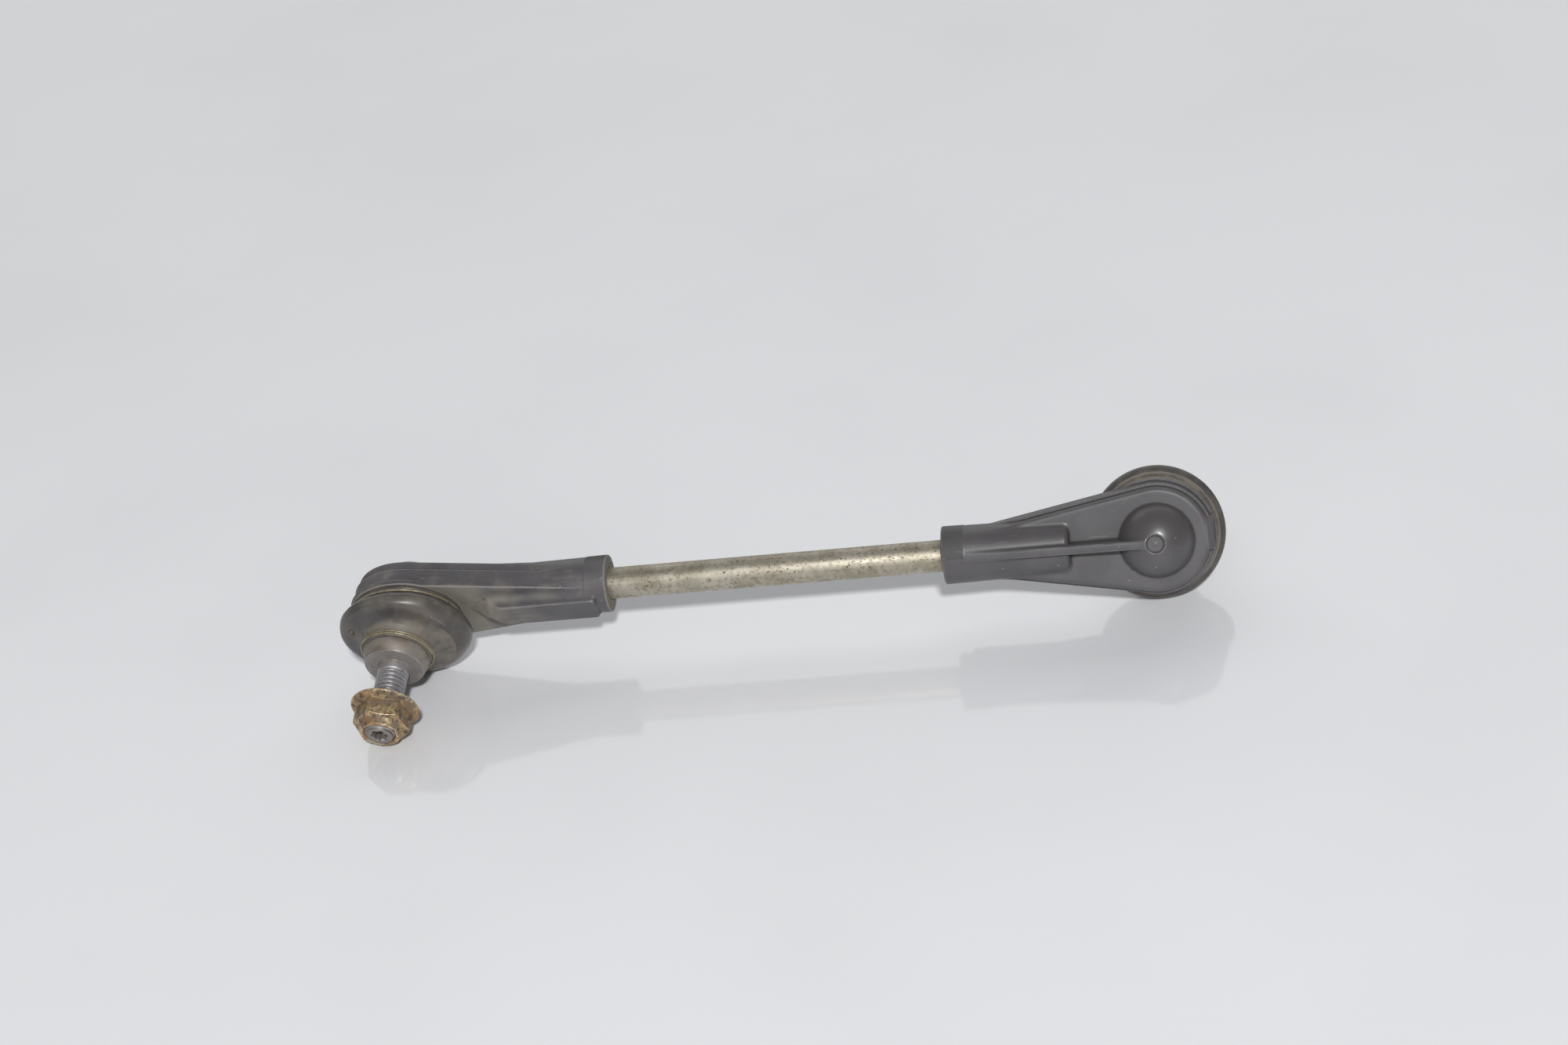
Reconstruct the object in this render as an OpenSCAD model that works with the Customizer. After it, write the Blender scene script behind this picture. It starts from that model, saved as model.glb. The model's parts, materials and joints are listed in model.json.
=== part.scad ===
// Stabilizer link: a steel rod with a moulded ball-joint housing on each end.
// The link lies on a table. X runs along the rod, Z is up, and the origin is on the table
// under the rod's middle. The two ends are alike, half a turn about Z apart.
// Each end is drawn with its ball centre at the origin, the socket's axis along +Z towards
// the stud, the rod along +X and the side that lies uppermost along +Y.

/* [Link] */
// Distance between the two ball centres
ball_distance = 240; // [200:1:320]
// Diameter of the rod
rod_d = 10; // [9:0.1:12]
// Length of rod held inside each housing
rod_grip = 36.5; // [32:0.5:42]
// Grooves round each rod end that key it into the housing
groove_count = 4; // [2:1:5]
// Width of a rod groove
groove_w = 2.4; // [1.5:0.1:3]
// Depth of a rod groove
groove_depth = 0.6; // [0.3:0.1:1]
// How far both sockets point below level as the link lies
socket_drop = 24; // [20:1:28]
// How far both studs lean away from the rod as the link lies
stud_sway = 4.4; // [0:0.1:8]

/* [Ball joint] */
// Diameter of the ball
ball_d = 16; // [14.5:0.1:17.5]
// Diameter of the stud's neck
neck_d = 10; // [9:0.1:10.8]
// Largest swing of the stud to any side
swing = 20; // [15:1:22]
// Wall of the slotted shell round the ball
shell_wall = 2.1; // [1.6:0.1:2.6]
// Slots that let the shell snap over the ball
slot_count = 4; // [3:1:6]
// Width of a shell slot
slot_w = 1.6; // [1:0.1:2.4]
// Floor of the shell's slots behind the ball centre
slot_back = 2; // [1:0.1:3]
// Thickness of the ring that closes the socket
closing_ring_t = 2.4; // [1.8:0.1:3]
// How far the closing ring reaches out past the shell
closing_ring_ledge = 3; // [2.2:0.1:3.8]

/* [Housing] */
// Ball centre to the end of the housing's collar
arm_length = 66.5; // [60:0.5:74]
// Angle of the arm's flanks to the rod
arm_taper = 10.3; // [8.5:0.1:12]
// Back face of the housing behind the ball centre
plate_back = 4.6; // [4.2:0.1:5.6]
// Step in the flanks behind the ball centre
step_back = 1; // [0.6:0.1:2.4]
// Width of the steps between plate, web and boot seat
flank_step = 1; // [0.5:0.1:1.3]
// How far the flanks start inside the head's edge
flank_inset = 0.1; // [0.05:0.05:0.3]
// Thickness of the round disc under the boot
seat_disc_t = 2; // [1.2:0.1:3]
// Wall of the barrel round the rod, at the collar
barrel_wall = 4.1; // [3.6:0.1:5]
// How much slimmer the barrel is at its inner end
barrel_draft = 0.6; // [0.2:0.1:0.8]
// Plastic in front of the rod's tip
tip_wall = 3; // [2:0.1:4]
// Bevel on the inner end of the barrel
barrel_bevel = 1.2; // [0.5:0.1:2]
// Bevel on the collar's end
collar_bevel = 0.6; // [0.3:0.1:1]
// Width of the flat pad along the front of the barrel
pad_w = 10; // [8:0.5:11]
// Height of the pad above the housing's front face
pad_rise = 4; // [3.8:0.1:4.8]
// Start of the pad's ramp outside the boot's seat
pad_start = 7; // [5:0.5:9]
// End of the pad before the collar's end
pad_end = 4; // [3:0.5:8]
// Wall of the dome behind the ball
dome_wall = 2.2; // [1.8:0.1:3]
// Diameter of the dimple in the dome
dimple_d = 6.4; // [4:0.1:8]
// Depth of the dimple below the dome's top
dimple_depth = 0.9; // [0.5:0.1:1.4]
// Width of the back rib
rib_w = 3; // [2:0.1:4]
// End of the back rib before the collar's end
rib_end = 6.4; // [4:0.1:10]
// Width of the sloped moulding flat on the head's end
gate_w = 10.6; // [8:0.1:12]
// Depth of the moulding flat in the plate's edge
gate_cut = 0.7; // [0.4:0.1:1.2]
// End of the moulding flat inside the seat disc's edge
gate_inset = 0.5; // [0.3:0.1:0.9]
// Height of the spigot that carries the boot
spigot_h = 3.1; // [2.8:0.1:4]
// Wall of the spigot
spigot_wall = 2.2; // [1.8:0.1:2.8]
// Rim of the spigot above the closing ring
spigot_rim = 2.3; // [2.1:0.1:2.9]

/* [Boot] */
// Wall of the boot where its base sits on the spigot
boot_lip_wall = 1.7; // [1.3:0.1:2.2]
// Radius of the bulge's round section
bulge_r = 4.75; // [4.2:0.05:5.2]
// Middle of the bulge outside the spigot
bulge_out = 1; // [0.6:0.1:1.6]
// Middle of the bulge above the housing's front face
bulge_rise = 6; // [5.6:0.1:6.6]
// Wall of the bulge at its rim
boot_wall = 2.15; // [1.9:0.05:2.5]
// Middle of the bulge's hollow above the middle of the bulge
hollow_rise = 0.5; // [0.4:0.05:0.7]
// Rise of the cone from the clamp ring out to the bulge's rim, in degrees
boot_cone = 33; // [28:1:35]
// Height of the boot's foot under its clamp ring
boot_foot_h = 1.1; // [0.8:0.1:1.3]
// How far the boot's foot reaches out past the clamp ring's seat
boot_foot_w = 0.6; // [0.4:0.1:0.9]
// Wall of the boot where the neck leaves the bulge
neck_wall = 1.8; // [1.6:0.05:2]
// How far the neck's outside starts in from the top of the bulge
neck_inset = 0.45; // [0.3:0.05:0.6]
// How far the neck's inside starts in from the top of the bulge
neck_hollow_inset = 2.7; // [2.4:0.1:3]
// Wall of the boot where it grips the stud
boot_grip_wall = 3.2; // [2.6:0.1:3.6]
// Radial thickness of the boot's clamp ring on the housing
base_ring_t = 1.1; // [0.8:0.1:1.5]
// Height of the boot's clamp ring on the housing
base_ring_h = 1.1; // [0.8:0.1:1.3]
// Radial thickness of the boot's clamp ring on the stud
top_ring_t = 0.9; // [0.6:0.1:1.3]
// Height of the boot's clamp ring on the stud
top_ring_h = 2; // [1.4:0.1:2.2]

/* [Stud] */
// Diameter of the stud where the boot grips it
boot_seat_d = 15.6; // [14.6:0.1:16.4]
// Boot seat above the top of the bulge
boot_seat_rise = 1.2; // [1:0.1:2]
// Length of the boot seat
boot_seat_l = 3.7; // [3.4:0.1:4.4]
// Length of the flare from the neck to the boot seat
flare_l = 3.2; // [2.4:0.1:4]
// How far the stud's collar reaches out past the boot seat
collar_ledge = 2.8; // [2.2:0.1:3.6]
// How much slimmer the collar is at its clamping face
collar_taper = 1.1; // [0.7:0.1:2]
// Thickness of the collar
collar_t = 5.4; // [4:0.1:7]
// Height of the collar's back edge before it tapers
collar_edge = 1.2; // [0.6:0.1:2]
// Diameter of the plain shank next to the collar
shank_d = 10; // [9.8:0.05:10.2]
// Length of the plain shank
shank_l = 3; // [2:0.1:5]
// Diameter over the thread under the nut
thread_d = 9.68; // [9.5:0.01:9.7]
// Length of the thread
thread_l = 22.9; // [21:0.1:26]
// Bevel on the thread's end
thread_bevel = 0.8; // [0.4:0.1:1.2]
// Width over the points of the star-shaped drive
drive_d = 5.5; // [4.5:0.1:6]
// Diameter of the round bites between the points of the drive
drive_bite_d = 1.8; // [1.4:0.1:2]
// Depth of the bites between the points of the drive
drive_bite = 0.7; // [0.4:0.1:0.8]
// Depth of the star-shaped drive
drive_depth = 4; // [3:0.1:5]

/* [Nut] */
// Gap between the collar's face and the nut
nut_grip = 14.9; // [8:0.1:15.5]
// Diameter of the nut's flange
nut_flange_d = 21.8; // [20:0.1:23]
// Height of the flange's rim
nut_rim_h = 1.4; // [1:0.1:2]
// Height of the slope from the rim to the hexagon
nut_slope_h = 1.8; // [1:0.1:2.4]
// Width over the hexagon's flats
nut_flats = 16; // [15:0.1:17]
// Height of the hexagon's end above the bearing face
nut_hex_h = 8; // [7:0.1:9]
// Bevel on the hexagon's end
nut_bevel = 0.8; // [0.4:0.1:1.2]
// Turn of the hexagon about the stud
nut_turn = -16; // [-30:1:30]
// Height of the crimped crown
crown_h = 2.5; // [1.5:0.1:3]
// Diameter of the crown at the hexagon
crown_base_d = 14.6; // [13.5:0.1:14.8]
// Diameter of the crown at its end
crown_top_d = 12.6; // [11.5:0.1:13.4]

/* [Clearances] */
// Gap between pieces that are seated in one another
fit_gap = 0.05; // [0.02:0.01:0.1]
// Running gap between pieces that turn or slide
run_gap = 0.08; // [0.04:0.01:0.1]
// Room between the closing ring and the neck at full swing
swing_room = 0.6; // [0.3:0.1:1]
// Room between the shell's mouth and the neck at full swing, in degrees
mouth_room = 3; // [1:0.5:4]

/* [Hidden] */
left = -1;
right = 1;
$fn = 96;
// Length by which a cutter or a hidden end runs on past a face
overrun = 1;

// Ball, shell and closing ring
ball_r = ball_d / 2;
neck_r = neck_d / 2;
shell_in_r = ball_r + run_gap;
shell_out_r = shell_in_r + shell_wall;
cavity_r = shell_out_r + fit_gap;
mouth_angle = swing + asin(neck_r / shell_in_r) + mouth_room;
mouth_z = shell_in_r * cos(mouth_angle);
ring_seat_z = mouth_z + fit_gap;
closing_top_z = ring_seat_z + closing_ring_t;
closing_in_r = (neck_r + closing_top_z * sin(swing)) / cos(swing) + swing_room;
closing_out_r = shell_out_r + closing_ring_ledge;

// Housing, outwards from the socket
counterbore_r = closing_out_r + fit_gap;
spigot_r = counterbore_r + spigot_wall;
spigot_top_z = closing_top_z + spigot_rim;
front_z = spigot_top_z - spigot_h;
boot_bore_r = spigot_r + fit_gap;
boot_lip_r = boot_bore_r + boot_lip_wall;
base_ring_in_r = boot_lip_r + fit_gap;
base_ring_out_r = base_ring_in_r + base_ring_t;
boot_foot_top_z = front_z + fit_gap + boot_foot_h;
base_ring_z = boot_foot_top_z + fit_gap;
seat_disc_r = base_ring_out_r;
head_r = seat_disc_r - flank_step;
plate_r = head_r - flank_step;
seat_back_z = front_z - seat_disc_t;
dome_r = cavity_r + dome_wall;
rod_r = rod_d / 2;
barrel_r = rod_r + barrel_wall;
rod_tip_x = arm_length - rod_grip;
barrel_x = rod_tip_x - tip_wall;
flank_end_y = rod_r + barrel_wall / 2 - barrel_draft;
groove_pitch = rod_grip / (groove_count + 1);

// Boot
bulge_ring_r = spigot_r + bulge_out;
bulge_z = front_z + bulge_rise;
bulge_top_z = bulge_z + bulge_r;
hollow_r = bulge_r - boot_wall;
hollow_z = bulge_z + hollow_rise;
groove_top_z = base_ring_z + base_ring_h + fit_gap;

// Stud, from the ball centre outwards
boot_seat_r = boot_seat_d / 2;
boot_seat_z = bulge_top_z + boot_seat_rise;
collar_z = boot_seat_z + boot_seat_l;
face_z = collar_z + collar_t;
collar_r = boot_seat_r + collar_ledge;
thread_z = face_z + shank_l;
stud_tip_z = thread_z + thread_l;
grip_bore_r = boot_seat_r + fit_gap;
grip_out_r = grip_bore_r + boot_grip_wall;
grip_top_z = collar_z - 2 * fit_gap;
top_ring_in_r = grip_out_r + fit_gap;
top_ring_z = grip_top_z - fit_gap - top_ring_h;
nut_z = face_z + nut_grip;
nut_bore_d = thread_d + 2 * run_gap;
drive_lobes = 6;

// The boots and the rims of the nuts touch the table together
ball_height = bulge_z * sin(socket_drop) + bulge_ring_r * cos(socket_drop) + bulge_r;
nut_rim_r = nut_flange_d / 2;
nut_foot_z = nut_z + nut_rim_h;
stud_drop = asin(ball_height / norm([nut_foot_z, nut_rim_r])) - atan2(nut_rim_r, nut_foot_z);
stud_lean = socket_drop - asin(sin(stud_drop) / cos(stud_sway));

// Moves an end's pieces to the left or the right end of the link
module at_ball(side) {
    rotate(side == left ? 0 : 180)
        translate([-ball_distance / 2, 0, ball_height])
            rotate([90 + socket_drop, 0, 0])
                children();
}

// Turns a piece from the socket's axis onto the leaning stud's axis
module on_stud() {
    rotate([-stud_lean, 0, 0])
        rotate([0, -stud_sway, 0])
            children();
}

// Turns a piece drawn along Z onto the rod's axis
module on_rod() {
    rotate([0, 90, 0])
        children();
}

// Ring of rectangular section, standing on height z
module ring(in_r, out_r, z, h) {
    translate([0, 0, z])
        difference() {
            cylinder(h = h, r = out_r);
            translate([0, 0, -overrun])
                cylinder(h = h + 2 * overrun, r = in_r);
        }
}

// Rod end along Z from the ball centre, grown by a gap where it is a hollow in the housing
module rod_end(far_z, gap) {
    difference() {
        translate([0, 0, rod_tip_x - gap])
            cylinder(h = far_z - rod_tip_x + gap, r = rod_r + gap);
        for (i = [1 : groove_count])
            ring(rod_r - groove_depth + gap, rod_d,
                rod_tip_x + i * groove_pitch - groove_w / 2 + gap, groove_w - 2 * gap);
    }
}

module rod() {
    color([0.62, 0.58, 0.50])
        for (turn = [0, 180])
            rotate(turn)
                translate([-ball_distance / 2, 0, ball_height])
                    on_rod()
                        rod_end(ball_distance / 2, 0);
}

// Round head whose flanks leave it just inside its edge and close in until they are inside the barrel
module arm_outline(r) {
    flank_r = r - flank_inset;
    root = [flank_r * sin(arm_taper), flank_r * cos(arm_taper)];
    end_x = (flank_r / cos(arm_taper) - flank_end_y) / tan(arm_taper);
    circle(r);
    polygon([root, [end_x, flank_end_y], [end_x, -flank_end_y], [root.x, -root.y]]);
}

module arm_slab(r, from_z, to_z) {
    translate([0, 0, from_z])
        linear_extrude(to_z - from_z)
            arm_outline(r);
}

// Barrel moulded round the rod, slimmer towards the ball
module barrel() {
    inner_r = barrel_r - barrel_draft;
    on_rod()
        rotate_extrude()
            polygon([
                [0, barrel_x], [inner_r - barrel_bevel, barrel_x], [inner_r, barrel_x + barrel_bevel],
                [barrel_r, arm_length - collar_bevel], [barrel_r - collar_bevel, arm_length], [0, arm_length],
            ]);
}

// Bar along the arm with the given side outline, in X and Z
module arm_bar(width, outline) {
    rotate([90, 0, 0])
        translate([0, 0, -width / 2])
            linear_extrude(width)
                polygon(outline);
}

// Rib on the back, from the dimple's edge down to the barrel
module back_rib() {
    start_x = dimple_d / 2;
    start_z = -sqrt(dome_r ^ 2 - start_x ^ 2);
    end_x = arm_length - rib_end;
    arm_bar(rib_w, [
        [0, -step_back], [0, start_z], [start_x, start_z], [end_x, -barrel_r], [end_x, -step_back],
    ]);
}

// Flat pad on the front, rising from the front face to stand proud of the barrel
module front_pad() {
    start_x = seat_disc_r + pad_start;
    end_x = arm_length - pad_end;
    top_z = front_z + pad_rise;
    arm_bar(pad_w, [
        [start_x, 0], [start_x, front_z], [start_x + pad_rise, top_z], [end_x, top_z], [end_x, 0],
    ]);
}

// Dome behind the ball
module dome() {
    intersection() {
        sphere(dome_r);
        translate([0, 0, -dome_r - step_back])
            cylinder(h = dome_r, r = dome_r + overrun);
    }
}

// Hollow for the shell and, above it, for the closing ring
module socket() {
    rotate_extrude()
        intersection() {
            union() {
                circle(cavity_r);
                square([cavity_r, ring_seat_z]);
                translate([0, ring_seat_z])
                    square([counterbore_r, spigot_top_z]);
            }
            translate([0, -cavity_r - overrun])
                square([counterbore_r + overrun, cavity_r + spigot_top_z + 2 * overrun]);
        }
}

// Block on the head's end that the sloped moulding flat is cut from
module gate_block() {
    height = step_back + seat_back_z + seat_disc_t / 2;
    translate([0, 0, -step_back])
        intersection() {
            cylinder(h = height, r = seat_disc_r);
            translate([-seat_disc_r + gate_inset, -gate_w / 2, 0])
                cube([seat_disc_r, gate_w, height]);
        }
}

// Cutter for the flat, which slopes from the plate's edge out to the seat disc
module gate_cutter() {
    foot_x = -plate_r + gate_cut;
    top_x = -seat_disc_r + gate_inset;
    far_x = -seat_disc_r - overrun;
    back_z = -plate_back - overrun;
    arm_bar(gate_w, [
        [foot_x, back_z], [foot_x, -step_back], [top_x, seat_back_z], [far_x, seat_back_z], [far_x, back_z],
    ]);
}

module housing(side) {
    color([0.20, 0.20, 0.21])
        at_ball(side)
            difference() {
                union() {
                    arm_slab(plate_r, -plate_back, -step_back);
                    arm_slab(head_r, -step_back, front_z);
                    translate([0, 0, seat_back_z])
                        cylinder(h = seat_disc_t, r = seat_disc_r);
                    cylinder(h = spigot_top_z, r = spigot_r);
                    barrel();
                    back_rib();
                    front_pad();
                    gate_block();
                    dome();
                }
                socket();
                gate_cutter();
                translate([0, 0, -dome_r - overrun])
                    cylinder(h = dimple_depth + overrun, d = dimple_d);
                on_rod()
                    rod_end(arm_length + overrun, fit_gap);
            }
}

// Slotted plastic cup that the ball snaps into
module ball_shell(side) {
    color([0.88, 0.87, 0.82])
        at_ball(side)
            difference() {
                rotate_extrude()
                    difference() {
                        intersection() {
                            union() {
                                circle(shell_out_r);
                                square([shell_out_r, mouth_z]);
                            }
                            translate([0, -shell_out_r - overrun])
                                square([shell_out_r + overrun, shell_out_r + overrun + mouth_z]);
                        }
                        circle(shell_in_r);
                    }
                for (i = [1 : slot_count])
                    rotate(360 / slot_count * i)
                        translate([0, -slot_w / 2, -slot_back])
                            cube([shell_out_r + overrun, slot_w, slot_back + mouth_z + overrun]);
            }
}

// Ring welded into the housing over the shell
module closing_ring(side) {
    color([0.26, 0.26, 0.27])
        at_ball(side)
            ring(closing_in_r, closing_out_r, ring_seat_z, closing_ring_t);
}

// Six-lobed drive in the stud's end
module star_drive() {
    translate([0, 0, stud_tip_z - drive_depth])
        linear_extrude(drive_depth + overrun)
            difference() {
                circle(d = drive_d);
                for (i = [1 : drive_lobes])
                    rotate(360 / drive_lobes * i)
                        translate([(drive_d + drive_bite_d) / 2 - drive_bite, 0])
                            circle(d = drive_bite_d);
            }
}

module ball_stud(side) {
    color([0.52, 0.49, 0.45])
        at_ball(side)
            on_stud()
                difference() {
                    union() {
                        sphere(ball_r);
                        rotate_extrude()
                            polygon([
                                [0, 0], [neck_r, 0], [neck_r, boot_seat_z - flare_l],
                                [boot_seat_r, boot_seat_z], [boot_seat_r, collar_z],
                                [collar_r, collar_z], [collar_r, collar_z + collar_edge],
                                [collar_r - collar_taper, face_z], [shank_d / 2, face_z],
                                [shank_d / 2, thread_z], [thread_d / 2, thread_z],
                                [thread_d / 2, stud_tip_z - thread_bevel],
                                [thread_d / 2 - thread_bevel, stud_tip_z], [0, stud_tip_z],
                            ]);
                    }
                    star_drive();
                }
}

// Outside of the boot's bulge and base, round the socket's axis
module boot_outside() {
    foot_r = boot_lip_r + boot_foot_w;
    rim_r = bulge_ring_r + bulge_r + overrun;
    rotate_extrude()
        difference() {
            union() {
                translate([bulge_ring_r, bulge_z])
                    circle(bulge_r);
                translate([0, front_z + fit_gap])
                    square([boot_lip_r, bulge_rise]);
                translate([0, front_z + fit_gap])
                    square([foot_r, boot_foot_h]);
                square([bulge_ring_r - neck_wall, bulge_top_z - neck_inset]);
            }
            polygon([
                [foot_r, 0], [foot_r, boot_foot_top_z], [boot_lip_r, boot_foot_top_z],
                [boot_lip_r, groove_top_z],
                [rim_r, groove_top_z + (rim_r - boot_lip_r) * tan(boot_cone)], [rim_r, 0],
            ]);
            square([spigot_r, front_z + fit_gap]);
        }
}

// Inside of the boot's bulge and base
module boot_inside() {
    rotate_extrude() {
        translate([bulge_ring_r, hollow_z])
            circle(hollow_r);
        square([boot_bore_r, hollow_z]);
        translate([0, hollow_z - hollow_r + fit_gap])
            square([bulge_ring_r, 2 * hollow_r - 2 * fit_gap]);
    }
}

// Neck of the boot, which narrows to its grip round the stud
module boot_neck(grip_r, top_z, foot_r, foot_z, shoulder_z) {
    rotate_extrude()
        polygon([
            [0, bulge_z], [foot_r, foot_z], [grip_r, shoulder_z], [grip_r, top_z], [0, top_z],
        ]);
}

module boot(side) {
    color([0.17, 0.16, 0.15])
        at_ball(side)
            difference() {
                union() {
                    boot_outside();
                    on_stud()
                        boot_neck(grip_out_r, grip_top_z, bulge_ring_r - neck_inset,
                            bulge_top_z - neck_wall, top_ring_z - fit_gap);
                }
                boot_inside();
                on_stud()
                    boot_neck(grip_bore_r, grip_top_z + overrun, bulge_ring_r - neck_hollow_inset,
                        bulge_top_z - neck_hollow_inset, boot_seat_z);
            }
}

module boot_base_ring(side) {
    color([0.62, 0.52, 0.32])
        at_ball(side)
            ring(base_ring_in_r, base_ring_out_r, base_ring_z, base_ring_h);
}

module boot_top_ring(side) {
    color([0.60, 0.50, 0.32])
        at_ball(side)
            on_stud()
                ring(top_ring_in_r, top_ring_in_r + top_ring_t, top_ring_z, top_ring_h);
}

// Hexagon with the corners of its end cut back by a cone
module nut_hexagon() {
    corner_r = nut_flats / 2 / cos(30);
    end_r = corner_r - nut_bevel / tan(30);
    cone_z = nut_hex_h - nut_bevel - overrun * tan(30);
    intersection() {
        rotate(nut_turn)
            cylinder(h = nut_hex_h, r = corner_r, $fn = 6);
        union() {
            cylinder(h = cone_z, r = corner_r + overrun);
            translate([0, 0, cone_z])
                cylinder(h = nut_hex_h - cone_z, r1 = corner_r + overrun, r2 = end_r);
        }
    }
}

// Slope from the flange's rim to the hexagon, which runs on inside it
module nut_slope() {
    narrowing = (nut_rim_r - nut_flats / 2) / nut_slope_h;
    cylinder(h = nut_slope_h + overrun, r1 = nut_rim_r, r2 = nut_flats / 2 - overrun * narrowing);
}

module flange_nut(side) {
    color([0.64, 0.48, 0.24])
        at_ball(side)
            on_stud()
                translate([0, 0, nut_z])
                    difference() {
                        union() {
                            cylinder(h = nut_rim_h, r = nut_rim_r);
                            translate([0, 0, nut_rim_h])
                                nut_slope();
                            nut_hexagon();
                            translate([0, 0, nut_hex_h])
                                cylinder(h = crown_h, d1 = crown_base_d, d2 = crown_top_d);
                        }
                        translate([0, 0, -overrun])
                            cylinder(h = nut_hex_h + crown_h + 2 * overrun, d = nut_bore_d);
                    }
}

rod();
housing(left);  // left_housing
ball_shell(left);  // left_ball_shell
closing_ring(left);  // left_closing_ring
ball_stud(left);  // left_ball_stud
boot(left);  // left_boot
boot_base_ring(left);  // left_boot_base_ring
boot_top_ring(left);  // left_boot_top_ring
flange_nut(left);  // left_flange_nut
housing(right);  // right_housing
ball_shell(right);  // right_ball_shell
closing_ring(right);  // right_closing_ring
ball_stud(right);  // right_ball_stud
boot(right);  // right_boot
boot_base_ring(right);  // right_boot_base_ring
boot_top_ring(right);  // right_boot_top_ring
flange_nut(right);  // right_flange_nut
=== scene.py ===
import json
import math
import bmesh
import bpy
import numpy as np
from mathutils import Matrix, Vector


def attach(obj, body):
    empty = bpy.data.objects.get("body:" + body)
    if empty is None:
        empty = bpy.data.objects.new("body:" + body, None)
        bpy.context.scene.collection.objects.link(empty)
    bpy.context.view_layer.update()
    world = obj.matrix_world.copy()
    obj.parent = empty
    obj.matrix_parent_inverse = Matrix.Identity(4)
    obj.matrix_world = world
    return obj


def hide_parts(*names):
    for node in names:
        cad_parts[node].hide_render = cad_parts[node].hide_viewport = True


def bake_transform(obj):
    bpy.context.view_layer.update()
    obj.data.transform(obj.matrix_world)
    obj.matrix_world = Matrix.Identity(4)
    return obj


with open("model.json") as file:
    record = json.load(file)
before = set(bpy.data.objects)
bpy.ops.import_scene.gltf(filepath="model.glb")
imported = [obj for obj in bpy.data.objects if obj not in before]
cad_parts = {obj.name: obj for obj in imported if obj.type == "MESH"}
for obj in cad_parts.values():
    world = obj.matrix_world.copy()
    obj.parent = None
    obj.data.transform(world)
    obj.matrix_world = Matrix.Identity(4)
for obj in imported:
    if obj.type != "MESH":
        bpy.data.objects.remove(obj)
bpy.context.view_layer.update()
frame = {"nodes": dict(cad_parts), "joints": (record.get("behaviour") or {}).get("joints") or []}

mm = 0.001  # pieces are drawn in millimetres in an end's own frame, then placed in metres
sides = ("left", "right")

# the frame says where the left ball joint is, and the right one is half a turn about Z away;
# an end's own frame has the ball centre at 0, +Z along the socket to the stud and +X to the rod
joints = {joint["name"]: joint for joint in frame["joints"]}
ball = np.array(joints["left_swing_direction"]["pos_m"]) / mm
socketDrop = math.degrees(math.asin(-joints["left_swing_direction"]["axis"][2]))


def turn(axis, degrees):
    return np.array(Matrix.Rotation(math.radians(degrees), 4, axis))


def shift(x, y, z):
    return np.array(Matrix.Translation((x, y, z)))


def endPlace(side):
    half = turn("Z", 0 if side == "left" else 180)
    return half @ shift(*ball) @ turn("X", 90 + socketDrop)


studAxis = np.array(joints["left_stud_spin"]["axis"]) @ endPlace("left")[:3, :3]
studLean, studSway = math.degrees(math.atan2(studAxis[1], studAxis[2])), math.degrees(-math.asin(studAxis[0]))
studTurn = turn("X", -studLean) @ turn("Y", -studSway)


def moved(points, place):
    return points @ place[:3, :3].T + place[:3, 3]


# node graphs: sums on sockets make Math nodes, every other node comes from Graph.node
class Wire:
    def __init__(self, graph, socket):
        self.graph, self.socket = graph, socket

    def calc(self, operation, *values):
        return self.graph.node("ShaderNodeMath", {"operation": operation}, dict(enumerate(values)))

    def __add__(self, other):
        return self.calc("ADD", self, other)

    def __sub__(self, other):
        return self.calc("SUBTRACT", self, other)

    def __rsub__(self, other):
        return self.calc("SUBTRACT", other, self)

    def __mul__(self, other):
        return self.calc("MULTIPLY", self, other)

    def __truediv__(self, other):
        return self.calc("DIVIDE", self, other)

    def __gt__(self, other):
        return self.calc("GREATER_THAN", self, other)

    __radd__, __rmul__ = __add__, __mul__


class Graph:
    def __init__(self, tree):
        self.tree = tree

    def node(self, kind, settings=None, sockets=None, out=0):
        made = self.tree.nodes.new(kind)
        for key, value in (settings or {}).items():
            setattr(made, key, value)
        for key, value in (sockets or {}).items():
            if isinstance(value, Wire):
                self.tree.links.new(value.socket, made.inputs[key])
            else:
                made.inputs[key].default_value = value
        return Wire(self, made.outputs[out]) if made.outputs else None

    def soften(self, value, low, high):  # 0 below low, 1 above high
        return self.node("ShaderNodeMapRange", {"interpolation_type": "SMOOTHSTEP"},
                         {"Value": value, "From Min": low, "From Max": high})

    def mix(self, share, a, b):  # 0, 6 and 7 are the colour sockets' places in the node
        return self.node("ShaderNodeMix", {"data_type": "RGBA"}, {0: share, 6: a, 7: b}, out=2)

    def where(self, stretch=(1, 1, 1), turned=(0, 0, 0)):
        spot = self.node("ShaderNodeTexCoord", out="Object")
        if stretch == (1, 1, 1):
            return spot
        return self.node("ShaderNodeMapping", None, {"Vector": spot, "Scale": stretch, "Rotation": turned})

    def noise(self, grain, detail=3.0, spot=None):  # grain is the size of a patch in mm
        return self.node("ShaderNodeTexNoise", None,
                         {"Vector": spot or self.where(), "Scale": 1000 / grain, "Detail": detail})

    def specks(self, grain, size):  # round spots, one in some of the cells
        cells = {"Vector": self.where(), "Scale": 1000 / grain}
        near = self.node("ShaderNodeTexVoronoi", None, cells, out="Distance")
        return 1 - self.soften(near, size * 0.6, size)

    def painted(self, name):  # a value that the mesh itself carries
        return self.node("ShaderNodeAttribute", {"attribute_name": name}, out="Fac")


def tone(red, green, blue):  # a screen colour, 0 to 255, as the shader's colour
    return tuple(((v / 255 + 0.055) / 1.055) ** 2.4 for v in (red, green, blue)) + (1.0,)


def newFinish(name):
    material = bpy.data.materials.new(name)
    material.use_nodes = True
    material.node_tree.nodes.clear()
    return material, Graph(material.node_tree)


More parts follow.
